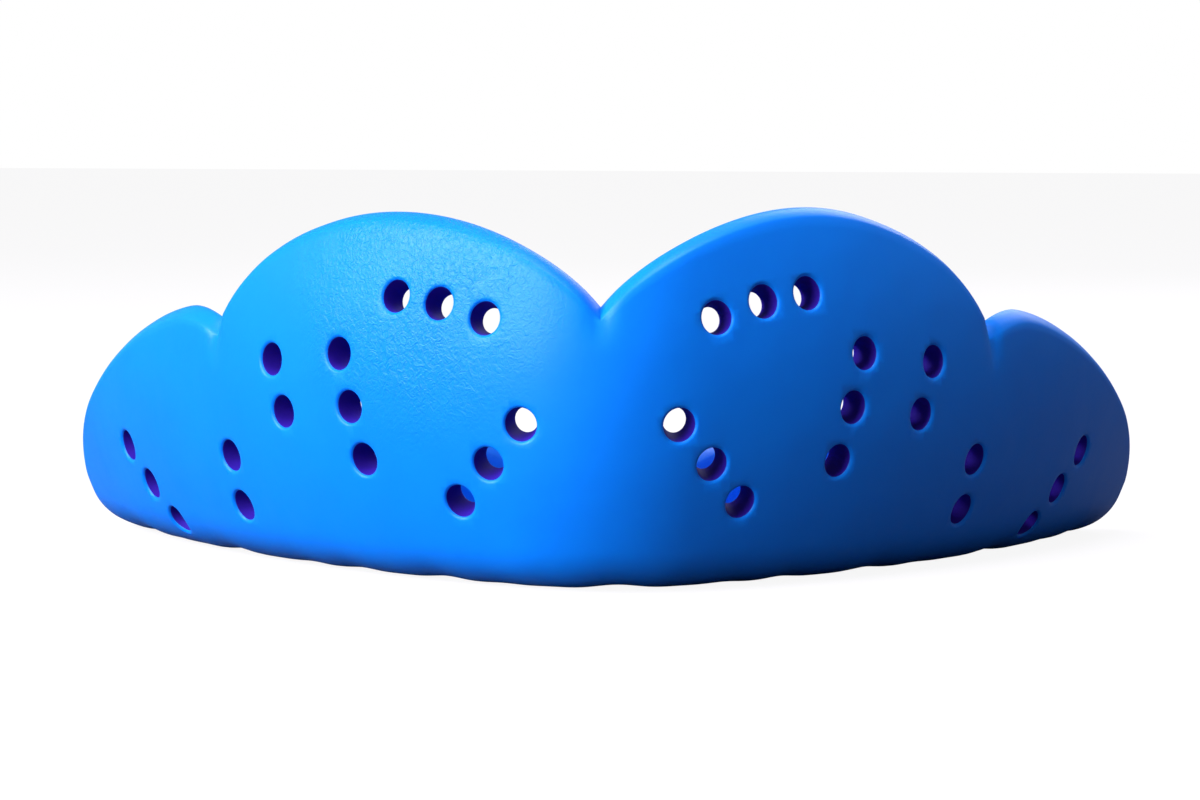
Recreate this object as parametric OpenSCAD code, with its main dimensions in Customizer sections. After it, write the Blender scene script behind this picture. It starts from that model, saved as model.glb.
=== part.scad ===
// Thin perforated mouthguard for boxing and martial arts: one moulded sheet, bent
// into a channel for the upper teeth. The outer wall rises in four petals, the bite
// floor is flat, and a low lip stands on the tongue side.
// Millimetres. The origin is the middle of the underside, +Z is up and the front
// teeth are at -Y. Lengths along the arch are measured on the outside of the wall,
// from the middle of the front. Heights are measured from the underside.

/* [Sheet] */
// Thickness of the sheet
sheet_t = 1.8; // [1.2:0.1:2.2]

/* [Arch from above] */
// Radius of the wall round the two middle teeth
nose_r = 11; // [9:0.5:15]
// Direction of the wall where the nose ends, in degrees
nose_angle = 28; // [20:1:34]
// Radius of the wall along the canine teeth
flank_r = 45; // [35:1:60]
// Direction of the wall where the flank ends, in degrees
flank_angle = 46; // [42:1:52]
// Radius of the wall along the back teeth
side_r = 78; // [50:1:95]
// Length from the middle of the front to the end of each arm
arm_length = 52.5; // [43.5:0.5:63]
// Length over which each arm's end is rounded off
arm_end = 7; // [4:0.5:9]

/* [Section] */
// Radius of the outward belly of the wall
belly_r = 24; // [18:0.5:40]
// Slope of the wall where it meets the corner, in degrees
belly_angle = 23; // [12:1:28]
// Outside radius of the corner between wall and bite floor
corner_r = 3.6; // [3:0.1:4.5]
// Flat width of the bite floor at the front
floor_front = 1.6; // [1:0.1:2.5]
// Flat width of the bite floor at the back teeth
floor_back = 4.6; // [3:0.1:7]
// Outside radius of the corner between bite floor and lip
lip_corner_r = 2.8; // [2.6:0.1:3.4]
// Slope of the lip, in degrees from flat
lip_angle = 82; // [70:1:88]
// Height of the lip
lip_h = 7; // [5:0.1:9]
// Depth of the notch in the lip behind the two middle teeth
lip_notch = 2.2; // [0:0.1:3]

/* [Petals] */
// Height of the edge in the middle notch
notch_h = 15.2; // [12.5:0.1:17]
// Height of the front petals
front_petal_h = 20.2; // [16.5:0.1:24.5]
// Length along the arch to the top of each front petal
front_petal_at = 13.8; // [11:0.1:16]
// Height of the edge in the side notches
side_notch_h = 13.6; // [11:0.1:15.5]
// Length along the arch to the side notches
side_notch_at = 27.9; // [25:0.1:31]
// Height of the side petals
side_petal_h = 14.4; // [11.5:0.1:16.5]
// Length from a side notch to the top of its side petal
side_petal_on = 3.6; // [2.5:0.1:5]
// Height of the edge where the rounding of an arm's end starts
arm_end_h = 9.4; // [8:0.1:11]

/* [Perforations] */
// Diameter of the holes
hole_d = 1.85; // [1.2:0.05:2.1]
// Distance between the holes of a row
hole_pitch = 3; // [2.6:0.1:3.6]
// Depth of the front petals' top row below the edge
top_row_drop = 4.6; // [3.5:0.1:6]
// Distance between the holes along the bite floor and the lip
floor_pitch = 6; // [4:0.1:9]

/* [Hidden] */

RAD = 180 / PI;
half_t = sheet_t / 2;

// How many straight steps stand for each stretch of the section.
STEPS_WALL = 6;
STEPS_CORNER = 5;
STEPS_LIP_CORNER = 4;
// How many points round off each edge of the sheet.
EDGE_POINTS = 3;
// Longest step along the arch.
STATION = 1.3;
// How far each drill stands clear of the sheet on both sides.
CLEAR = 1;

// Share of each edge's fall that is kept for a steep last stretch: towards the middle
// notch, towards a side notch, and from a side notch up to its side petal.
STEEP_MIDDLE = 0.2;
STEEP_SIDE = 0.3;
STEEP_BACK = 0;
// Powers of the even and of the steep part of a petal's edge.
EDGE_POWER = 2;
STEEP_POWER = 7;
// Power of the edge's fall along the back teeth.
BACK_POWER = 1.5;
// Powers that round an arm's end in the sheet's outline and through its thickness.
OUTLINE_POWER = 3;
RIM_POWER = 2;
// Unrolled height that an arm's end closes on, as a share of the corner's length.
END_MIDDLE = 0.5;
// Step along and across the sheet that gives its direction at a hole.
TILT_STEP = 0.01;

// Rows of wall holes on each side. A row starts at a length along the arch and at a
// height, and runs at an angle on the sheet, with 0 towards the back and -90 downwards.
TOP_ROW_AT = 6.5;
TOP_ROW_COUNT = 3;
INCISOR_ROW = [4.3, 9.1, -47, 3];
CANINE_ROW = [16.5, 12.4, -105, 3];
PREMOLAR_ROW = [22.2, 11.8, -107, 2];
MOLAR_ROW = [27.1, 6.3, -90, 2];
BACK_ROW = [40.4, 6, -132, 3];

// ---- Arch: plan curve of the wall's belly, as three tangent arcs each side ----
nose_len = nose_r * nose_angle / RAD;
flank_end = nose_len + flank_r * (flank_angle - nose_angle) / RAD;

// Direction of the wall at the length s from the middle.
function heading(s) =
    s < nose_len ? s / nose_r * RAD
    : s < flank_end ? nose_angle + (s - nose_len) / flank_r * RAD
    : flank_angle + (s - flank_end) / side_r * RAD;

// Step in plan along an arc of radius r, from one heading to another.
function arc(r, from, to) = r * [sin(to) - sin(from), cos(from) - cos(to)];

// Plan position of the belly at the length s.
function arch(s) =
    arc(nose_r, 0, min(heading(s), nose_angle))
    + (s > nose_len ? arc(flank_r, nose_angle, min(heading(s), flank_angle)) : [0, 0])
    + (s > flank_end ? arc(side_r, flank_angle, heading(s)) : [0, 0]);

// Direction of the section plane, which turns evenly up to the end of the flank so
// that the lip runs in a wider curve than the nose.
function section_turn(s) = s < flank_end ? flank_angle * s / flank_end : heading(s);

// ---- Section: a chain of arcs and straights, unrolled to the coordinate w ----
// w is 0 where the flat underside starts, positive up the wall, negative to the lip.
corner_len = corner_r * (90 - belly_angle) / RAD;
base_in = belly_r * (1 - cos(belly_angle)) + corner_r * cos(belly_angle);
belly_h = belly_r * sin(belly_angle) + corner_r * (1 - sin(belly_angle));
lip_corner_len = lip_corner_r * lip_angle / RAD;
lip_corner_h = lip_corner_r * (1 - cos(lip_angle));

// Smooth step from 0 to 1.
function ease(u) = let (v = min(1, max(0, u))) v * v * (3 - 2 * v);

function floor_w(s) = floor_front + (floor_back - floor_front) * ease(s / flank_end);

// Slope of the sheet's underside or outside at w: 90 on the floor, 0 on the belly.
function slope(s, w) =
    w > corner_len ? belly_angle - (w - corner_len) / belly_r * RAD
    : w > 0 ? 90 - w / corner_r * RAD
    : w > -floor_w(s) ? 90
    : 90 + min(lip_angle, (-w - floor_w(s)) / lip_corner_r * RAD);

// Distance inboard of the belly and height of the outside of the sheet at w.
function outside(s, w) =
    let (a = slope(s, w), past = -w - floor_w(s), lip_up = max(0, past - lip_corner_len))
    w > corner_len ? [belly_r * (1 - cos(a)), belly_h - belly_r * sin(a)]
    : w > 0 ? [base_in - corner_r * cos(a), corner_r * (1 - sin(a))]
    : past < 0 ? [base_in - w, 0]
    : [base_in + floor_w(s) + lip_corner_r * sin(a - 90) + lip_up * cos(lip_angle),
       lip_corner_r * (1 - cos(a - 90)) + lip_up * sin(lip_angle)];

// Unrolled height at which the middle of the wall's thickness is at height z.
function up_wall(z) =
    corner_len + (belly_angle - asin((belly_h - z) / (belly_r - half_t))) / RAD * belly_r;

// Point of the sheet at length s, unrolled height w and depth d below its outside.
function at(s, w, d = 0) =
    let (
        side = s < 0 ? -1 : 1,
        a = slope(abs(s), w),
        p = outside(abs(s), w) + d * [cos(a), sin(a)],
        turn = section_turn(abs(s)),
        q = arch(abs(s)) + p[0] * [-sin(turn), cos(turn)]
    )
    [side * q[0], q[1], p[1]];

// ---- Outline of the unrolled sheet ----
side_petal_at = side_notch_at + side_petal_on;
round_at = arm_length - arm_end;

// How far an edge has fallen at the share u of the way from a petal's top.
function fall(u, steep) = (1 - steep) * u ^ EDGE_POWER + steep * u ^ STEEP_POWER;

// Height of the wall's edge at the length s.
function edge_h(s) =
    s < front_petal_at
        ? front_petal_h - (front_petal_h - notch_h) * fall(1 - s / front_petal_at, STEEP_MIDDLE)
    : s < side_notch_at
        ? front_petal_h - (front_petal_h - side_notch_h)
            * fall((s - front_petal_at) / (side_notch_at - front_petal_at), STEEP_SIDE)
    : s < side_petal_at
        ? side_petal_h - (side_petal_h - side_notch_h)
            * fall((side_petal_at - s) / side_petal_on, STEEP_BACK)
    : side_petal_h - (side_petal_h - arm_end_h)
        * ((s - side_petal_at) / (round_at - side_petal_at)) ^ BACK_POWER;

// Height of the lip's edge at the length s.
function lip_edge_h(s) = lip_h - lip_notch * (1 - ease(s / front_petal_at));

// Share of the section's width or thickness that is left near an arm's end.
function taper(s, length, power) =
    let (u = max(0, s - arm_length + length) / length) max(0, 1 - u ^ power) ^ (1 / power);

// Unrolled coordinates of both edges, drawn together where the arm's end is rounded.
function top_w(s) = up_wall(edge_h(s));
function low_w(s) =
    -floor_w(s) - lip_corner_len - (lip_edge_h(s) - lip_corner_h) / sin(lip_angle);

// Unrolled coordinates along one section, from the wall's edge to the lip's edge.
function section_w(s, h) =
    let (
        top = top_w(s) - h,
        low = low_w(s) + h,
        floor_end = -floor_w(s),
        lip_start = floor_end - lip_corner_len,
        middle = END_MIDDLE * corner_len,
        squeeze = taper(s, arm_end, OUTLINE_POWER),
        full = [
            for (k = [0 : STEPS_WALL - 1]) top + (corner_len - top) * k / STEPS_WALL,
            for (k = [0 : STEPS_CORNER]) corner_len * (1 - k / STEPS_CORNER),
            for (k = [0 : STEPS_LIP_CORNER])
                floor_end + (lip_start - floor_end) * k / STEPS_LIP_CORNER,
            low
        ]
    )
    [for (w = full) middle + (w - middle) * squeeze];

// One closed ring of points round the sheet at the signed length s.
function ring(s) =
    let (
        h = half_t * taper(abs(s), half_t, RIM_POWER),
        ws = section_w(abs(s), h),
        last = len(ws) - 1
    )
    [
        for (w = ws) at(s, w, half_t - h),
        for (k = [1 : EDGE_POINTS])
            let (a = 180 * k / (EDGE_POINTS + 1)) at(s, ws[last] - h * sin(a), half_t - h * cos(a)),
        for (k = [last : -1 : 0]) at(s, ws[k], half_t + h),
        for (k = [1 : EDGE_POINTS])
            let (a = 180 * k / (EDGE_POINTS + 1)) at(s, ws[0] + h * sin(a), half_t + h * cos(a))
    ];

// ---- Stations along the arch ----
// Lengths that divide one stretch evenly, without its far end.
function stretch(from, to) =
    let (n = ceil((to - from) / STATION)) [for (k = [0 : n - 1]) from + (to - from) * k / n];

// Shares of the rounded arm's end, closing up towards its tip.
END_SHARES = [0, 0.25, 0.45, 0.62, 0.76, 0.87, 0.94, 0.98];
// Shares of the edge's rounding at the very tip.
TIP_SHARES = [0.3, 0.7, 0.97];

half_stations = concat(
    stretch(0, front_petal_at),
    stretch(front_petal_at, side_notch_at),
    stretch(side_notch_at, side_petal_at),
    stretch(side_petal_at, round_at),
    [for (u = END_SHARES) round_at + u * (arm_end - half_t)],
    [for (u = TIP_SHARES) arm_length - half_t * (1 - u)]
);
last_half = len(half_stations) - 1;
stations = concat(
    [for (k = [last_half : -1 : 1]) -half_stations[k]],
    half_stations
);

rings = [for (s = stations) ring(s)];
around = len(rings[0]);
sheet_points = [for (r = rings) each r];

// The arch's depth is centred on the origin.
mid_y = (min([for (p = sheet_points) p[1]]) + max([for (p = sheet_points) p[1]])) / 2;

// ---- Perforations, as [length, unrolled height] on the right half ----
// Row of holes from a first one, in the direction given by an angle on the sheet.
function row(at, height, angle, count) =
    [for (k = [0 : count - 1])
        [at, up_wall(height)] + k * hole_pitch * [cos(angle), sin(angle)]];

// Length along the arch that keeps its share of the arm when the arm's length changes.
ARM_DRAWN = 52.5;
back_row_at = MOLAR_ROW[0]
    + (BACK_ROW[0] - MOLAR_ROW[0]) * (arm_length - MOLAR_ROW[0]) / (ARM_DRAWN - MOLAR_ROW[0]);
top_row = [
    for (k = [0 : TOP_ROW_COUNT - 1])
        let (s = TOP_ROW_AT + k * hole_pitch) [s, up_wall(edge_h(s) - top_row_drop)]
];
wall_holes = concat(
    top_row,
    row(INCISOR_ROW[0], INCISOR_ROW[1], INCISOR_ROW[2], INCISOR_ROW[3]),
    row(CANINE_ROW[0], CANINE_ROW[1], CANINE_ROW[2], CANINE_ROW[3]),
    row(PREMOLAR_ROW[0], PREMOLAR_ROW[1], PREMOLAR_ROW[2], PREMOLAR_ROW[3]),
    row(MOLAR_ROW[0], MOLAR_ROW[1], MOLAR_ROW[2], MOLAR_ROW[3]),
    row(back_row_at, BACK_ROW[1], BACK_ROW[2], BACK_ROW[3])
);
floor_holes = [
    for (s = [floor_pitch : floor_pitch : round_at]) [s, -floor_w(s) / 2]
];
lip_holes = [
    for (s = [1.5 * floor_pitch : floor_pitch : round_at])
        [s, low_w(s) + (lip_edge_h(s) - lip_corner_h) / 2]
];

// Outward direction of the sheet, square to its surface, at the signed length s.
function outward(s, w) =
    let (e = TILT_STEP, n = cross(at(s + e, w) - at(s - e, w), at(s, w + e) - at(s, w - e)))
    n / norm(n);

// A drill through the sheet at one hole.
module drill(s, w) {
    n = outward(s, w);
    translate(at(s, w) + n * CLEAR)
        rotate([0, acos(-n[2]), atan2(-n[1], -n[0])])
            cylinder(d = hole_d, h = sheet_t + 2 * CLEAR, $fn = 32);
}

// Triangles that close the sheet at one end, zipped across its thickness.
function partner(k) = around - EDGE_POINTS - 1 - k;
function end_cap() =
    let (top = -floor(EDGE_POINTS / 2), low = around / 2 - EDGE_POINTS - 1 - top)
    [
        for (k = [top : low - 1])
            let (a = k, b = k + 1, c = partner(k + 1), d = partner(k))
            each [[a, b, c], [a, c, d]],
        [low, low + 1, low + 2],
        [top - 1, top, partner(top)]
    ];

// The sheet without its perforations.
module sheet() {
    last = len(rings) - 1;
    polyhedron(
        points = sheet_points,
        faces = [
            for (j = [0 : last - 1], k = [0 : around - 1])
                let (a = j * around + k, b = j * around + (k + 1) % around)
                each [[a, a + around, b], [b, a + around, b + around]],
            for (f = end_cap()) [for (k = f) (k + around) % around],
            for (f = end_cap()) [for (k = [f[2], f[1], f[0]]) last * around + (k + around) % around]
        ]
    );
}

module guard_shell() {
    color("#0b84f2")
        translate([0, -mid_y, 0])
            difference() {
                sheet();
                for (side = [-1, 1], p = concat(wall_holes, floor_holes, lip_holes))
                    drill(side * p[0], p[1]);
            }
}

guard_shell();
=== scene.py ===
"""Looks of a thin perforated mouthguard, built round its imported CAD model.

A flat blank with rounded edges is punched with its perforations and then formed into
the tooth channel, as the real sheet is. Lengths are metres and angles radians.
"""
import math

import bpy
import numpy as np
from bpy.props import (
    FloatProperty,
    PointerProperty,
    StringProperty,
)
from bpy.types import Operator, Panel, PropertyGroup
from mathutils import Matrix, Vector


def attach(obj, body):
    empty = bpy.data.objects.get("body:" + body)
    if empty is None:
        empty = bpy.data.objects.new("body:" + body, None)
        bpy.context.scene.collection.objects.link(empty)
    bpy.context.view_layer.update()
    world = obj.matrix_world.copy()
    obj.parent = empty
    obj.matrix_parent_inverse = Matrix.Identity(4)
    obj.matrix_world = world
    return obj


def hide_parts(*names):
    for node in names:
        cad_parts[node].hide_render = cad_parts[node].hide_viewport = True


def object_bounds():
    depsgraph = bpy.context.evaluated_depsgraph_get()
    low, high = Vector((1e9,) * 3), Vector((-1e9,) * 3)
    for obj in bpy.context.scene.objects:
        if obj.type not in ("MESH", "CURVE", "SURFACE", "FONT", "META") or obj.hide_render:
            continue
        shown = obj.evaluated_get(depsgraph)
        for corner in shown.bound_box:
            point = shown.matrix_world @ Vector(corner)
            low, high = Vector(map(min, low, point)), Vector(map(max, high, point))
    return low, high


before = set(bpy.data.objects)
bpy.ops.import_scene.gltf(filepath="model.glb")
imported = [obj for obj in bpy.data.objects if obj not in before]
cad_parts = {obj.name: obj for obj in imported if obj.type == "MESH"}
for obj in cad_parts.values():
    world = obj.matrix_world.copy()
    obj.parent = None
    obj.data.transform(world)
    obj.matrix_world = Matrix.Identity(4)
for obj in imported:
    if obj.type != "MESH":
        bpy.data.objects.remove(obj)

bl_info = {
    "name": "Perforated Mouthguard",
    "version": (1, 0, 0),
    "blender": (4, 5, 0),
    "location": "View3D > Sidebar > Mouthguard",
    "description": "Builds a thin moulded mouthguard and the studio it stands in",
    "category": "Add Mesh",
}

MM = 0.001
CAD_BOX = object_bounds()

# Curves of the wall's edge: share of the steep part at the middle notch and the side
# notches, powers of the plain and the steep part, and power of the fall along an arm.
STEEP_MIDDLE, STEEP_SIDE = 0.2, 0.3
EDGE_POWER, STEEP_POWER, BACK_POWER = 2, 7, 1.5

# Rounding of an arm's end, seen from the side and across the rim's thickness.
OUTLINE_POWER, RIM_POWER = 3, 2

# The wall's hole rows: length and height of the first hole, direction in the sheet and
# count. The top row follows the edge, so it has a length and a count only.
TOP_ROW_AT, TOP_ROW_COUNT = 6.5 * MM, 3
HOLE_ROWS = (
    (4.3 * MM, 9.1 * MM, -47, 3),
    (16.5 * MM, 12.4 * MM, -105, 3),
    (22.2 * MM, 11.8 * MM, -107, 2),
    (27.1 * MM, 6.3 * MM, -90, 2),
    (40.4 * MM, 6 * MM, -132, 3),
)

# Folds below the notches, as length down from the edge, depth and half width, and the
# power with which they fade downwards.
MIDDLE_FOLD = (2.6 * MM, 0.42 * MM, 0.5 * MM)
SIDE_FOLD = (3 * MM, 0.5 * MM, 0.42 * MM)
FOLD_FADE = 1.6

# How far the left and the right front petal are drawn up, where less than 0 is down, and
# how far that reaches across the middle, beside the petal's top and up the wall.
LEFT_DRAWN, RIGHT_DRAWN = -0.24 * MM, 0.1 * MM
DRAWN_ACROSS, DRAWN_BESIDE, DRAWN_DOWN = 3 * MM, 8 * MM, 20 * MM

# Waviness of the lower corner: lengths and phases of its two waves, a quarter of its
# full height, and its reach up the wall.
RIPPLE_WAVES = ((11.3 * MM, 1.1), (6.7 * MM, 0.4))
RIPPLE_H, RIPPLE_REACH = 0.045 * MM, 3.2 * MM

# Angles that the punch's flare turns through at both faces of the sheet, how far it
# passes them, and the corners of the punch's round.
FLARE_ANGLES = (18, 36, 54, 68)
PUNCH_PAST = 0.1 * MM
PUNCH_CORNERS = 40

# The studio's floor: width, and gap that keeps it clear of the guard's flat underside.
FLOOR_WIDTH, FLOOR_GAP = 8, 0.05 * MM


# ---------------------------------------------------------------- settings


class GuardSizes(PropertyGroup):
    """Sizes of the sheet, its arch, its section and its petals."""

    sheet_t: FloatProperty(
        name="Sheet thickness", description="Thickness of the sheet",
        default=1.8 * MM, unit="LENGTH")
    nose_r: FloatProperty(
        name="Nose radius", description="Radius of the wall round the two middle teeth",
        default=11 * MM, unit="LENGTH")
    nose_angle: FloatProperty(
        name="Nose angle", description="Direction of the wall where the nose ends",
        default=math.radians(28), subtype="ANGLE")
    flank_r: FloatProperty(
        name="Flank radius", description="Radius of the wall along the canine teeth",
        default=45 * MM, unit="LENGTH")
    flank_angle: FloatProperty(
        name="Flank angle", description="Direction of the wall where the flank ends",
        default=math.radians(46), subtype="ANGLE")
    side_r: FloatProperty(
        name="Side radius", description="Radius of the wall along the back teeth",
        default=78 * MM, unit="LENGTH")
    arm_length: FloatProperty(
        name="Arm length", description="Length from the middle of the front to an arm's end",
        default=52.5 * MM, unit="LENGTH")
    arm_end: FloatProperty(
        name="Arm end", description="Length over which each arm's end is rounded off",
        default=7 * MM, unit="LENGTH")
    belly_r: FloatProperty(
        name="Belly radius", description="Radius of the outward belly of the wall",
        default=24 * MM, unit="LENGTH")
    belly_angle: FloatProperty(
        name="Belly angle", description="Slope of the wall where it meets the corner",
        default=math.radians(23), subtype="ANGLE")
    corner_r: FloatProperty(
        name="Corner radius", description="Outside radius between wall and bite floor",
        default=3.6 * MM, unit="LENGTH")
    floor_front: FloatProperty(
        name="Front floor", description="Flat width of the bite floor at the front",
        default=1.6 * MM, unit="LENGTH")
    floor_back: FloatProperty(
        name="Back floor", description="Flat width of the bite floor at the back teeth",
        default=4.6 * MM, unit="LENGTH")
    lip_corner_r: FloatProperty(
        name="Lip corner radius", description="Outside radius between bite floor and lip",
        default=2.8 * MM, unit="LENGTH")
    lip_angle: FloatProperty(
        name="Lip angle", description="Slope of the lip from flat",
        default=math.radians(82), subtype="ANGLE")
    lip_h: FloatProperty(
        name="Lip height", description="Height of the lip",
        default=7 * MM, unit="LENGTH")
    lip_notch: FloatProperty(
        name="Lip notch", description="Depth of the notch in the lip at the front",
        default=2.2 * MM, unit="LENGTH")
    notch_h: FloatProperty(
        name="Middle notch", description="Height of the edge in the middle notch",
        default=15.2 * MM, unit="LENGTH")
    front_petal_h: FloatProperty(
        name="Front petals", description="Height of the front petals",
        default=20.2 * MM, unit="LENGTH")
    front_petal_at: FloatProperty(
        name="Front petal place", description="Length along the arch to a front petal's top",
        default=13.8 * MM, unit="LENGTH")
    side_notch_h: FloatProperty(
        name="Side notches", description="Height of the edge in the side notches",
        default=13.6 * MM, unit="LENGTH")
    side_notch_at: FloatProperty(
        name="Side notch place", description="Length along the arch to the side notches",
        default=27.9 * MM, unit="LENGTH")
    side_petal_h: FloatProperty(
        name="Side petals", description="Height of the side petals",
        default=14.4 * MM, unit="LENGTH")
    side_petal_on: FloatProperty(
        name="Side petal place", description="Length from a side notch to a side petal's top",
        default=3.6 * MM, unit="LENGTH")
    arm_end_h: FloatProperty(
        name="Arm end height", description="Height of the edge where an arm's rounding starts",
        default=9.4 * MM, unit="LENGTH")
    hole_d: FloatProperty(
        name="Hole diameter", description="Diameter of the perforations",
        default=1.85 * MM, unit="LENGTH")
    hole_soft: FloatProperty(
        name="Hole edge", description="Radius that softens the edges of the perforations",
        default=0.2 * MM, unit="LENGTH")
    hole_draft: FloatProperty(
        name="Hole draft", description="Share of a hole's width left at the inside",
        default=0.76)
    hole_pitch: FloatProperty(
        name="Hole pitch", description="Distance between the holes of a row",
        default=3 * MM, unit="LENGTH")
    top_row_drop: FloatProperty(
        name="Top row", description="Depth of the front petals' top row below the edge",
        default=4.6 * MM, unit="LENGTH")
    floor_pitch: FloatProperty(
        name="Floor pitch", description="Distance between holes along bite floor and lip",
        default=6 * MM, unit="LENGTH")


class GuardColours(PropertyGroup):
    """Colours of the moulded plastic, and the painted shade down its perforations."""

    azure: StringProperty(
        name="Plastic", description="Colour of the moulded thermoplastic",
        default="007AF0")
    deep: StringProperty(
        name="Deep plastic", description="Colour of the plastic where it is a little denser",
        default="0070E6")
    # The bores' dark purple is painted shade for the little light that reaches down the
    # perforations.
    bore_painted_shade: StringProperty(
        name="Bores", description="Colour of the plastic deep in the perforations",
        default="2A1490")


class StudioSettings(PropertyGroup):
    """Camera and light of the studio."""

    camera_distance: FloatProperty(
        name="Camera distance", description="Distance from the front teeth to the camera",
        default=0.2, unit="LENGTH")
    camera_height: FloatProperty(
        name="Camera elevation", description="Angle of the camera above the horizon",
        default=math.radians(3.72), subtype="ANGLE")
    camera_turn: FloatProperty(
        name="Camera azimuth", description="Angle of the camera round the object",
        default=math.radians(0.58), subtype="ANGLE")
    camera_roll: FloatProperty(
        name="Camera roll", description="Roll of the camera",
        default=math.radians(0.27), subtype="ANGLE")
    lens: FloatProperty(
        name="Lens", description="Focal length in millimetres on a 36 mm wide sensor",
        default=115.65)
    ambient: FloatProperty(
        name="Ambient light", description="Brightness of the even light all round",
        default=0.25)
    camera_aim: FloatProperty(
        name="Camera aim", description="Height of the point that the camera looks at",
        default=10.38 * MM, unit="LENGTH")
    floor_glow: FloatProperty(
        name="Floor glow", description="Brightness of the lit floor",
        default=0.91)


# ---------------------------------------------------------------- small helpers


def hex_colour(code):
    """sRGB hex digits as an opaque linear colour."""
    parts = [int(code[k : k + 2], 16) / 255 for k in (0, 2, 4)]
    linear = [c / 12.92 if c <= 0.04045 else ((c + 0.055) / 1.055) ** 2.4 for c in parts]
    return (*linear, 1.0)


def add_node(tree, kind, settings=None, **links):
    """Adds a node, sets its properties and sockets, and links its inputs from other nodes."""
    node = tree.nodes.new(kind)
    for name, value in (settings or {}).items():
        if name in node.inputs and not hasattr(node, name):
            node.inputs[name].default_value = value
        else:
            setattr(node, name, value)
    for name, source in links.items():
        tree.links.new(source, node.inputs[name.replace("_", " ")])
    return node


def deselect():
    """Leaves nothing selected and object mode on."""
    if bpy.context.mode != "OBJECT":
        bpy.ops.object.mode_set(mode="OBJECT")
    bpy.ops.object.select_all(action="DESELECT")


def only(obj):
    """Makes obj the one selected and active object."""
    deselect()
    obj.select_set(True)
    bpy.context.view_layer.objects.active = obj
    return obj


def coordinates(obj):
    """Vertex coordinates as an array."""
    flat = np.empty(len(obj.data.vertices) * 3)
    obj.data.vertices.foreach_get("co", flat)
    return flat.reshape(-1, 3)


def move_points(obj, points):
    """Moves every vertex to its new place."""
    obj.data.vertices.foreach_set("co", np.ascontiguousarray(points, float).ravel())
    obj.data.update()


def apply_modifier(obj, kind, **settings):
    """Adds a modifier, sets it and applies it."""
    modifier = obj.modifiers.new(kind.title(), kind)
    for name, value in settings.items():
        setattr(modifier, name, value)
    only(obj)
    bpy.ops.object.modifier_apply(modifier=modifier.name)


# ---------------------------------------------------------------- shape of the sheet


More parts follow.
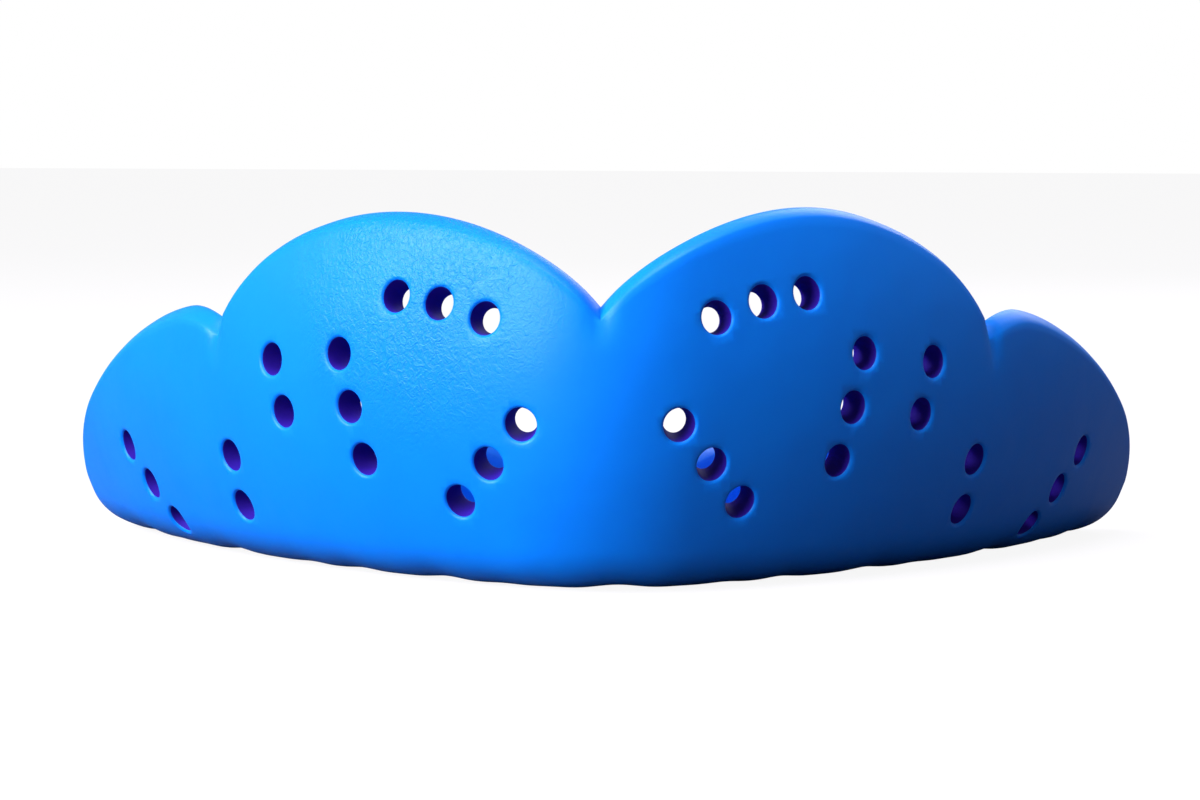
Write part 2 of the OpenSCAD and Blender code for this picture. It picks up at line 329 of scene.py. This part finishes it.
class Sheet:
    """The formed sheet as functions of length s, unrolled height w and depth d.

    s runs along the outside of the wall from the middle of the front, w is 0 where the
    flat underside starts, positive up the wall and negative towards the lip, and d runs
    inwards from the outside.
    """

    def __init__(self, size):
        self.size = size
        self.half_t = size.sheet_t / 2
        self.nose_len = size.nose_r * size.nose_angle
        self.flank_end = self.nose_len + size.flank_r * (size.flank_angle - size.nose_angle)
        self.corner_len = size.corner_r * (math.pi / 2 - size.belly_angle)
        self.base_in = (size.belly_r * (1 - math.cos(size.belly_angle))
                        + size.corner_r * math.cos(size.belly_angle))
        self.belly_h = (size.belly_r * math.sin(size.belly_angle)
                        + size.corner_r * (1 - math.sin(size.belly_angle)))
        self.lip_corner_len = size.lip_corner_r * size.lip_angle
        self.lip_corner_h = size.lip_corner_r * (1 - math.cos(size.lip_angle))
        self.side_petal_at = size.side_notch_at + size.side_petal_on
        self.round_at = size.arm_length - size.arm_end

    def heading(self, s):
        """Direction of the wall in plan."""
        size = self.size
        return np.where(
            s < self.nose_len, s / size.nose_r,
            np.where(s < self.flank_end, size.nose_angle + (s - self.nose_len) / size.flank_r,
                     size.flank_angle + (s - self.flank_end) / size.side_r))

    def arch(self, s):
        """Plan position of the belly, as x and y."""
        size, heading = self.size, self.heading(s)
        bends = ((size.nose_r, 0.0, size.nose_angle),
                 (size.flank_r, size.nose_angle, size.flank_angle),
                 (size.side_r, size.flank_angle, math.pi))
        x = y = 0.0
        for radius, start, end in bends:
            to = np.clip(heading, start, end)
            x = x + radius * (np.sin(to) - math.sin(start))
            y = y + radius * (math.cos(start) - np.cos(to))
        return x, y

    def section_turn(self, s):
        """Direction of the section plane."""
        return np.where(s < self.flank_end, self.size.flank_angle * s / self.flank_end,
                        self.heading(s))

    def floor_w(self, s):
        """Flat width of the bite floor."""
        v = np.clip(s / self.flank_end, 0, 1)
        return (self.size.floor_front
                + (self.size.floor_back - self.size.floor_front) * v * v * (3 - 2 * v))

    def section(self, s, w, d):
        """Distance inboard of the belly and height of a point of the section."""
        size = self.size
        past = -w - self.floor_w(s)
        slope = np.where(
            w > self.corner_len, size.belly_angle - (w - self.corner_len) / size.belly_r,
            np.where(w > 0, math.pi / 2 - w / size.corner_r,
                     math.pi / 2 + np.clip(past / size.lip_corner_r, 0, size.lip_angle)))
        turned = slope - math.pi / 2
        lip_up = np.maximum(0, past - self.lip_corner_len)
        inward = np.where(
            w > self.corner_len, size.belly_r * (1 - np.cos(slope)),
            np.where(w > 0, self.base_in - size.corner_r * np.cos(slope),
                     self.base_in + np.minimum(-w, self.floor_w(s))
                     + size.lip_corner_r * np.sin(turned) + lip_up * math.cos(size.lip_angle)))
        height = np.where(
            w > self.corner_len, self.belly_h - size.belly_r * np.sin(slope),
            np.where(w > 0, size.corner_r * (1 - np.sin(slope)),
                     size.lip_corner_r * (1 - np.cos(turned))
                     + lip_up * math.sin(size.lip_angle)))
        return inward + d * np.cos(slope), height + d * np.sin(slope)

    def at(self, s, w, d):
        """Points of the formed sheet."""
        s, w, d = (np.asarray(v, float) for v in (s, w, d))
        length = np.abs(s)
        inward, height = self.section(length, w, d)
        turn = self.section_turn(length)
        x, y = self.arch(length)
        return np.stack([np.sign(s) * (x - inward * np.sin(turn)),
                         y + inward * np.cos(turn), height], -1)

    def up_wall(self, height):
        """Unrolled height at which the middle of the wall's thickness is at a height."""
        size = self.size
        slope = np.arcsin((self.belly_h - height) / (size.belly_r - self.half_t))
        return self.corner_len + (size.belly_angle - slope) * size.belly_r

    def edge_h(self, s):
        """Height of the wall's edge."""
        size = self.size
        top, notch, petal = size.front_petal_h, size.side_notch_h, size.side_petal_h

        def fall(u, steep):
            return (1 - steep) * u**EDGE_POWER + steep * u**STEEP_POWER

        inner = fall(np.clip(1 - s / size.front_petal_at, 0, 1), STEEP_MIDDLE)
        outer = fall(np.clip((s - size.front_petal_at)
                             / (size.side_notch_at - size.front_petal_at), 0, 1), STEEP_SIDE)
        rise = np.clip((self.side_petal_at - s) / size.side_petal_on, 0, 1) ** EDGE_POWER
        back = np.clip((s - self.side_petal_at) / (self.round_at - self.side_petal_at), 0, 2)
        return np.where(
            s < size.front_petal_at, top - (top - size.notch_h) * inner,
            np.where(
                s < size.side_notch_at, top - (top - notch) * outer,
                np.where(s < self.side_petal_at, petal - (petal - notch) * rise,
                         petal - (petal - size.arm_end_h) * back**BACK_POWER)))

    def lip_edge_h(self, s):
        """Height of the lip's edge."""
        v = np.clip(s / self.size.front_petal_at, 0, 1)
        return self.size.lip_h - self.size.lip_notch * (1 - v * v * (3 - 2 * v))

    def edges(self, s):
        """Unrolled coordinates of the wall's edge and of the lip's edge."""
        rise = (self.lip_edge_h(s) - self.lip_corner_h) / math.sin(self.size.lip_angle)
        return (self.up_wall(self.edge_h(s)),
                -self.floor_w(s) - self.lip_corner_len - rise)

    def taper(self, s, length, power):
        """Share of the section's width or thickness that is left near an arm's end."""
        u = np.clip((s - self.size.arm_length + length) / length, 0, 1)
        return (1 - u**power) ** (1 / power)

    def holes(self):
        """Places of the perforations on the right half, as length and unrolled height."""
        size = self.size

        def row(s, height, angle, count):
            w, turn = float(self.up_wall(height)), math.radians(angle)
            return [(s + k * size.hole_pitch * math.cos(turn),
                     w + k * size.hole_pitch * math.sin(turn)) for k in range(count)]

        top = [TOP_ROW_AT + k * size.hole_pitch for k in range(TOP_ROW_COUNT)]
        places = [(s, float(self.up_wall(self.edge_h(s) - size.top_row_drop))) for s in top]
        for first in HOLE_ROWS:
            places += row(*first)
        for s in np.arange(size.floor_pitch, self.round_at, size.floor_pitch):
            places.append((s, -float(self.floor_w(s)) / 2))
        for s in np.arange(1.5 * size.floor_pitch, self.round_at, size.floor_pitch):
            low = float(self.edges(s)[1])
            places.append((s, low + (float(self.lip_edge_h(s)) - self.lip_corner_h) / 2))
        return places


# ---------------------------------------------------------------- the guard


def even_steps(start, end, count):
    """Evenly spaced values without the last one."""
    return list(np.linspace(start, end, count, endpoint=False))


class Blank:
    """Counts and spacing of the blank's mesh, and the fullness of its rim.

    An edge_power of 2 gives a half round rim, and less gives a blunter one.
    """

    wall, corner, floor, lip_corner, lip, edge = 30, 12, 8, 12, 10, 10
    step = 0.42 * MM
    tip_steps, tip_crowding = 22, 1.2
    edge_power = 1.35

    @classmethod
    def lengths(cls, sheet):
        """Stations along the right half, closer together towards the tip."""
        size = sheet.size
        marks = (0, size.front_petal_at, size.side_notch_at, sheet.side_petal_at, sheet.round_at)
        steps = []
        for start, end in zip(marks, marks[1:]):
            steps += even_steps(start, end, math.ceil((end - start) / cls.step))
        for k in range(cls.tip_steps + 1):
            share = math.sin(math.pi / 2 * k / cls.tip_steps) ** cls.tip_crowding
            steps.append(sheet.round_at + size.arm_end * share)
        return np.array(steps)

    @classmethod
    def section(cls, sheet, s):
        """The closed section at the length s: unrolled heights and depths of its points."""
        top, low = (float(v) for v in sheet.edges(s))
        h = float(sheet.half_t * sheet.taper(s, sheet.half_t, RIM_POWER))
        top, low = top - h, low + h
        floor_end = -float(sheet.floor_w(s))
        lip_start = floor_end - sheet.lip_corner_len
        full = (even_steps(top, sheet.corner_len, cls.wall)
                + even_steps(sheet.corner_len, 0, cls.corner)
                + even_steps(0, floor_end, cls.floor)
                + even_steps(floor_end, lip_start, cls.lip_corner)
                + even_steps(lip_start, low, cls.lip) + [low])
        middle = sheet.corner_len / 2
        left = float(sheet.taper(s, sheet.size.arm_end, OUTLINE_POWER))
        ws = middle + (np.array(full) - middle) * left
        turn = np.linspace(0, math.pi, cls.edge + 1)[1:-1]
        out = np.sin(turn) ** (2 / cls.edge_power)
        across = np.sign(np.cos(turn)) * np.abs(np.cos(turn)) ** (2 / cls.edge_power)
        w = np.concatenate([ws, ws[-1] - h * out, ws[::-1], ws[0] + h * out])
        d = sheet.half_t + h * np.concatenate(
            [-np.ones(len(ws)), -across, np.ones(len(ws)), across])
        return w, d


def flat_blank(sheet):
    """A flat blank with rounded edges: length along x, unrolled height along y, depth down."""
    half = Blank.lengths(sheet)
    lengths = np.concatenate([-half[:0:-1], half])
    sections = [Blank.section(sheet, abs(s)) for s in lengths]
    around = len(sections[0][0])
    deselect()
    bpy.ops.mesh.primitive_grid_add(
        x_subdivisions=len(lengths) - 1, y_subdivisions=around, size=2)
    blank = bpy.context.object
    co = coordinates(blank)
    column = np.rint((co[:, 0] + 1) / 2 * (len(lengths) - 1)).astype(int)
    place = np.rint((co[:, 1] + 1) / 2 * around).astype(int) % around
    w = np.array([section[0] for section in sections])[column, place]
    d = np.array([section[1] for section in sections])[column, place]
    move_points(blank, np.stack([lengths[column], w, -d], 1))
    bpy.ops.object.mode_set(mode="EDIT")
    bpy.ops.mesh.select_all(action="SELECT")
    bpy.ops.mesh.remove_doubles(threshold=1e-7)
    bpy.ops.mesh.normals_make_consistent(inside=False)
    bpy.ops.object.mode_set(mode="OBJECT")
    return blank


def punch_tool(sheet, materials):
    """A round punch that widens at both faces of the sheet, so that its hole has soft edges."""
    size = sheet.size
    soft, radius = size.hole_soft, size.hole_d / 2
    turns = [math.radians(angle) for angle in FLARE_ANGLES]
    rises = [soft * math.sin(turn) for turn in turns]
    widths = [radius + soft * (1 - math.cos(turn)) for turn in turns]
    rises.append(soft + PUNCH_PAST)
    widths.append(widths[-1] + (rises[-1] - rises[-2]) * math.tan(turns[-1]))
    deselect()
    bpy.ops.mesh.primitive_cylinder_add(
        vertices=PUNCH_CORNERS, radius=radius, depth=size.sheet_t - 2 * soft,
        end_fill_type="NGON")
    punch = bpy.context.object
    for side in (1, -1):
        gone, wide = 0.0, radius
        bpy.ops.object.mode_set(mode="EDIT")
        bpy.ops.mesh.select_mode(type="FACE")
        bpy.ops.mesh.select_all(action="DESELECT")
        bpy.ops.object.mode_set(mode="OBJECT")
        # Only the flat end faces straight up or down; the flare's rings lean.
        for polygon in punch.data.polygons:
            polygon.select = polygon.normal.z * side > 0.99
        bpy.ops.object.mode_set(mode="EDIT")
        for rise, width in zip(rises, widths):
            bpy.ops.mesh.extrude_region_move(
                TRANSFORM_OT_translate={"value": (0, 0, side * (rise - gone))})
            bpy.ops.transform.resize(value=(width / wide, width / wide, 1))
            gone, wide = rise, width
        bpy.ops.object.mode_set(mode="OBJECT")
    co = coordinates(punch)
    co[:, 2] -= sheet.half_t
    co[:, :2] *= 1 + (size.hole_draft - 1) * np.clip(-co[:, 2:] / size.sheet_t, 0, 1)
    move_points(punch, co)
    for material in materials:
        punch.data.materials.append(material)
    # The upright faces leave the bores with their painted shade, and the flare leaves the skin's
    # softened edges.
    for polygon in punch.data.polygons:
        polygon.material_index = int(abs(polygon.normal.z) < 0.3)
    return punch


def place_punch(sheet, punch, s, w):
    """A copy of the punch at one hole, warped so that forming makes its hole round."""
    copy = punch.copy()
    copy.data = punch.data.copy()
    bpy.context.collection.objects.link(copy)
    micron = 1e-6
    along = (sheet.at(s + micron, w, 0) - sheet.at(s - micron, w, 0)) / (2 * micron)
    up = (sheet.at(s, w + micron, 0) - sheet.at(s, w - micron, 0)) / (2 * micron)
    first = along / np.linalg.norm(along)
    square = up - first * (up @ first)
    second = square / np.linalg.norm(square)
    co = coordinates(copy)
    dw = co[:, 1] / (up @ second)
    ds = (co[:, 0] - dw * (up @ first)) / np.linalg.norm(along)
    move_points(copy, np.stack([s + ds, w + dw, co[:, 2]], 1))
    return copy


def punch_blank(sheet, blank, materials):
    """Punches every perforation out of the flat blank."""
    punch = punch_tool(sheet, materials)
    blank.data.materials.append(materials[0])
    places = sheet.holes()
    copies = [place_punch(sheet, punch, side * s, w) for s, w in places for side in (-1, 1)]
    deselect()
    for copy in copies:
        copy.select_set(True)
    bpy.context.view_layer.objects.active = copies[0]
    bpy.ops.object.join()
    tools = bpy.context.object
    apply_modifier(blank, "BOOLEAN", operation="DIFFERENCE", solver="EXACT",
                   material_mode="TRANSFER", object=tools)
    for tool in (tools, punch):
        bpy.data.objects.remove(tool, do_unlink=True)


def crease_depth(sheet, s, w):
    """How far the fold below each notch sinks into the sheet."""
    size = sheet.size
    depth = np.zeros_like(s)
    folds = ((0.0, MIDDLE_FOLD),
             (size.side_notch_at, SIDE_FOLD),
             (-size.side_notch_at, SIDE_FOLD))
    for at, (length, deep, wide) in folds:
        edge = float(sheet.edges(abs(at))[0])
        below = np.clip(1 - (edge - w) / length, 0, 1)
        depth += deep * below**FOLD_FADE * np.exp(-(((s - at) / wide) ** 2))
    return depth


def petal_lift(sheet, s, w):
    """How much each front petal was drawn up or down in forming, more towards its edge."""
    drawn = np.interp(np.tanh(s / DRAWN_ACROSS), (-1, 0, 1), (LEFT_DRAWN, 0, RIGHT_DRAWN))
    beside = np.exp(-(((np.abs(s) - sheet.size.front_petal_at) / DRAWN_BESIDE) ** 2))
    return drawn * beside * np.clip(w / DRAWN_DOWN, 0, 1) ** 2


def corner_ripple(s, w):
    """How much the lower corner lifts here and there, as it does where warm plastic cools."""
    lift = RIPPLE_H * np.exp(-((w / RIPPLE_REACH) ** 2))
    for length, phase in RIPPLE_WAVES:
        lift = lift * (1 + np.sin(2 * math.pi * s / length + phase))
    return lift


def form(sheet, blank):
    """Bends the flat blank into the tooth channel, with a short fold below each notch."""
    co = coordinates(blank)
    sink = crease_depth(sheet, co[:, 0], co[:, 1])
    points = sheet.at(co[:, 0], co[:, 1], -co[:, 2] + sink)
    points[:, 2] += petal_lift(sheet, co[:, 0], co[:, 1]) + corner_ripple(co[:, 0], co[:, 1])
    front, back = CAD_BOX[0][1], CAD_BOX[1][1]
    middle = (points[:, 1].min() + points[:, 1].max()) / 2
    points[:, 1] += (front + back) / 2 - middle
    move_points(blank, points)


# ---------------------------------------------------------------- materials


def moulded_thermoplastic(colours):
    """Injection-moulded EVA-like thermoplastic: saturated azure, slightly translucent,
    with a satin gloss and faint flow mottling. Where the hot sheet was pressed over the
    left front teeth its skin is finely crinkled, elsewhere it is almost smooth."""
    material = bpy.data.materials.new("moulded_thermoplastic")
    material.use_nodes = True
    tree = material.node_tree
    tree.nodes.clear()
    place = add_node(tree, "ShaderNodeTexCoord").outputs["Object"]

    # Flow marks about 7 mm long shift the colour a little. Sockets 6 and 7 of the mix are
    # its two colours, and output 2 is their blend.
    mottle = add_node(tree, "ShaderNodeTexNoise", {"Scale": 1 / (7 * MM), "Detail": 2.0},
                      Vector=place)
    blend = add_node(tree, "ShaderNodeMix", {"data_type": "RGBA"})
    blend.inputs[6].default_value = hex_colour(colours.azure)
    blend.inputs[7].default_value = hex_colour(colours.deep)
    tree.links.new(mottle.outputs["Fac"], blend.inputs[0])

    # Crinkles 0.33 mm apart fade out 11 mm from the middle of the left front petal.
    reach = add_node(tree, "ShaderNodeVectorMath", {"operation": "DISTANCE"})
    tree.links.new(place, reach.inputs[0])
    reach.inputs[1].default_value = (-9.5 * MM, -15.5 * MM, 16.5 * MM)
    patch = add_node(tree, "ShaderNodeMapRange", {
        "interpolation_type": "SMOOTHSTEP", "From Min": 4 * MM, "From Max": 11 * MM,
        "To Min": 1.0, "To Max": 0.0}, Value=reach.outputs["Value"])
    patch_edge = add_node(tree, "ShaderNodeTexNoise", {"Scale": 1 / (2.5 * MM)}, Vector=place)
    ragged = add_node(tree, "ShaderNodeMath", {"operation": "MULTIPLY"})
    tree.links.new(patch.outputs["Result"], ragged.inputs[0])
    tree.links.new(patch_edge.outputs["Fac"], ragged.inputs[1])
    crinkle = add_node(tree, "ShaderNodeTexNoise", {
        "Scale": 1 / (0.33 * MM), "Detail": 2.0, "Roughness": 0.55, "Distortion": 1.4},
        Vector=place)
    crinkled = add_node(tree, "ShaderNodeMath", {"operation": "MULTIPLY"})
    tree.links.new(crinkle.outputs["Fac"], crinkled.inputs[0])
    tree.links.new(ragged.outputs["Value"], crinkled.inputs[1])

    # The rest of the skin has a pebble of 0.6 mm, and waves of 3.5 mm from cooling.
    pebble = add_node(tree, "ShaderNodeTexNoise", {"Scale": 1 / (0.6 * MM), "Detail": 2.0},
                      Vector=place)
    waves = add_node(tree, "ShaderNodeTexNoise", {"Scale": 1 / (3.5 * MM), "Detail": 1.0},
                     Vector=place)
    wavy = add_node(tree, "ShaderNodeBump", {"Strength": 0.5, "Distance": 0.12 * MM},
                    Height=waves.outputs["Fac"])
    pebbly = add_node(tree, "ShaderNodeBump", {"Strength": 0.12, "Distance": 0.05 * MM},
                      Height=pebble.outputs["Fac"], Normal=wavy.outputs["Normal"])
    bump = add_node(tree, "ShaderNodeBump", {"Strength": 0.9, "Distance": 0.14 * MM},
                    Height=crinkled.outputs["Value"], Normal=pebbly.outputs["Normal"])
    shader = add_node(tree, "ShaderNodeBsdfPrincipled", {
        "Roughness": 0.4, "IOR": 1.45, "Specular IOR Level": 0.32,
        "Specular Tint": hex_colour("C4ECFF"), "Subsurface Weight": 0.2,
        "Subsurface Radius": (0.2, 0.7, 1.0), "Subsurface Scale": 0.8 * MM},
        Base_Color=blend.outputs[2], Normal=bump.outputs["Normal"])
    output = add_node(tree, "ShaderNodeOutputMaterial")
    tree.links.new(shader.outputs["BSDF"], output.inputs["Surface"])
    return material


def bore_plastic_painted_shade(colours):
    """The same plastic down the bores of the perforations, matt as the moulding pins left it.
    Its dark colour is painted shade, for the little light that reaches down the bores."""
    material = bpy.data.materials.new("bore_plastic_painted_shade")
    material.use_nodes = True
    tree = material.node_tree
    tree.nodes.clear()
    place = add_node(tree, "ShaderNodeTexCoord").outputs["Object"]

    # A grain of 0.25 mm keeps the bores matt.
    grain = add_node(tree, "ShaderNodeTexNoise", {"Scale": 1 / (0.25 * MM)}, Vector=place)
    bump = add_node(tree, "ShaderNodeBump", {"Strength": 0.3, "Distance": 0.03 * MM},
                    Height=grain.outputs["Fac"])
    # The base colour's dark purple is painted shade.
    shader = add_node(tree, "ShaderNodeBsdfPrincipled", {
        "Base Color": hex_colour(colours.bore_painted_shade), "Roughness": 0.7, "IOR": 1.45,
        "Specular IOR Level": 0.1},
        Normal=bump.outputs["Normal"])
    output = add_node(tree, "ShaderNodeOutputMaterial")
    tree.links.new(shader.outputs["BSDF"], output.inputs["Surface"])
    return material


def backlit_acrylic(glow):
    """White acrylic of a light table: it looks evenly pale, yet throws little light up."""
    material = bpy.data.materials.new("studio_backlit_acrylic")
    material.use_nodes = True
    tree = material.node_tree
    shader = tree.nodes["Principled BSDF"]
    shader.inputs["Base Color"].default_value = hex_colour("5A565E")
    shader.inputs["Roughness"].default_value = 0.9
    shader.inputs["Specular IOR Level"].default_value = 0.0
    shader.inputs["Emission Color"].default_value = (1, 1, 1, 1)
    seen = add_node(tree, "ShaderNodeLightPath")
    strength = add_node(tree, "ShaderNodeMath", {"operation": "MULTIPLY"})
    tree.links.new(seen.outputs["Is Camera Ray"], strength.inputs[0])
    strength.inputs[1].default_value = glow
    tree.links.new(strength.outputs["Value"], shader.inputs["Emission Strength"])
    return material


# ---------------------------------------------------------------- operators


class MOUTHGUARD_OT_shell(Operator):
    """Make the perforated shell: blank, perforations, forming and finish"""

    bl_idname = "mouthguard.shell"
    bl_label = "Guard Shell"
    bl_options = {"REGISTER", "UNDO"}

    def execute(self, context):
        sheet = Sheet(context.scene.guard_sizes)
        shell = flat_blank(sheet)
        colours = context.scene.guard_colours
        materials = (moulded_thermoplastic(colours), bore_plastic_painted_shade(colours))
        punch_blank(sheet, shell, materials)
        form(sheet, shell)
        only(shell)
        bpy.ops.object.mode_set(mode="EDIT")
        bpy.ops.mesh.select_all(action="SELECT")
        bpy.ops.mesh.quads_convert_to_tris(quad_method="BEAUTY", ngon_method="BEAUTY")
        bpy.ops.object.mode_set(mode="OBJECT")
        bpy.ops.object.shade_smooth_by_angle(angle=math.radians(50))
        shell.name = shell.data.name = "moulded_shell"
        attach(shell, "root")
        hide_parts("guard_shell")
        return {"FINISHED"}


class MOUTHGUARD_OT_studio(Operator):
    """Make the floor, the lights and the camera"""

    bl_idname = "mouthguard.studio"
    bl_label = "Studio"
    bl_options = {"REGISTER", "UNDO"}

    def execute(self, context):
        studio = context.scene.guard_studio
        front, under = CAD_BOX[0][1:]
        deselect()
        bpy.ops.mesh.primitive_plane_add(
            size=FLOOR_WIDTH, location=(0, 0, under - FLOOR_GAP))
        floor = context.object
        floor.name = "studio_floor"
        bpy.ops.object.transform_apply(location=True, rotation=False, scale=False)
        floor.data.materials.append(backlit_acrylic(studio.floor_glow))
        self.light(context, studio)
        self.camera(context, studio, Vector((0, front, studio.camera_aim)))
        return {"FINISHED"}

    def light(self, context, studio):
        """White soft boxes in an even, pale room, which looks white but lights little."""
        world = bpy.data.worlds.new("studio_world")
        world.use_nodes = True
        tree = world.node_tree
        background = tree.nodes["Background"]
        background.inputs["Color"].default_value = (1, 1, 1, 1)
        seen = add_node(tree, "ShaderNodeLightPath")
        strength = add_node(tree, "ShaderNodeMapRange", {"To Min": studio.ambient,
                                                         "To Max": 1.0})
        tree.links.new(seen.outputs["Is Camera Ray"], strength.inputs["Value"])
        tree.links.new(strength.outputs["Result"], background.inputs["Strength"])
        context.scene.world = world
        context.scene.view_settings.view_transform = "Standard"
        # Place, width and power in metres and watts; all aim 10 mm above the floor.
        softboxes = (
            ("key_softbox", (-0.28, -0.29, 0.17), 0.26, 2.75),
            ("sheen_softbox", (-0.36, -0.11, 0.2), 0.1, 1.4),
            ("top_softbox", (-0.02, -0.1, 0.4), 0.22, 1.3),
            ("back_softbox", (0.16, 0.34, 0.26), 0.24, 0.6),
        )
        for name, place, width, power in softboxes:
            deselect()
            bpy.ops.object.light_add(type="AREA", location=place)
            lamp = context.object
            lamp.name = name
            lamp.data.size = width
            lamp.data.energy = power
            aim = Vector((0, 0, 0.01)) - Vector(place)
            lamp.rotation_euler = aim.to_track_quat("-Z", "Y").to_euler()

    def camera(self, context, studio, target):
        """A camera that looks at the target from the studio's angles and distance."""
        turn, rise = studio.camera_turn, studio.camera_height
        back = Vector((math.sin(turn) * math.cos(rise), -math.cos(turn) * math.cos(rise),
                       math.sin(rise)))
        right = Vector((math.cos(turn), math.sin(turn), 0))
        facing = Matrix((right, back.cross(right), back)).transposed()
        deselect()
        bpy.ops.object.camera_add(location=target + back * studio.camera_distance)
        camera = context.object
        camera.name = "studio_camera"
        roll = Matrix.Rotation(studio.camera_roll, 3, "Z")
        camera.rotation_euler = (facing @ roll).to_euler()
        camera.data.lens = studio.lens
        camera.data.sensor_width = 36
        camera.data.clip_start = 0.01
        context.scene.camera = camera


class MOUTHGUARD_PT_panel(Panel):
    """Lists the operators and their settings in the sidebar"""

    bl_label = "Mouthguard"
    bl_idname = "MOUTHGUARD_PT_panel"
    bl_space_type = "VIEW_3D"
    bl_region_type = "UI"
    bl_category = "Mouthguard"

    def draw(self, context):
        for group in (context.scene.guard_sizes, context.scene.guard_colours,
                      context.scene.guard_studio):
            box = self.layout.box()
            for name in group.__annotations__:
                box.prop(group, name)
        for operator in OPERATORS:
            self.layout.operator(operator.bl_idname)


# ---------------------------------------------------------------- registration

OPERATORS = (MOUTHGUARD_OT_shell, MOUTHGUARD_OT_studio)
GROUPS = {
    "guard_sizes": GuardSizes,
    "guard_colours": GuardColours,
    "guard_studio": StudioSettings,
}


def register():
    for cls in (*GROUPS.values(), *OPERATORS, MOUTHGUARD_PT_panel):
        bpy.utils.register_class(cls)
    for name, cls in GROUPS.items():
        setattr(bpy.types.Scene, name, PointerProperty(type=cls))


def unregister():
    for name in GROUPS:
        delattr(bpy.types.Scene, name)
    for cls in reversed((*GROUPS.values(), *OPERATORS, MOUTHGUARD_PT_panel)):
        bpy.utils.unregister_class(cls)


def main():
    register()
    bpy.ops.mouthguard.shell()
    bpy.ops.mouthguard.studio()


if __name__ == "__main__":
    main()
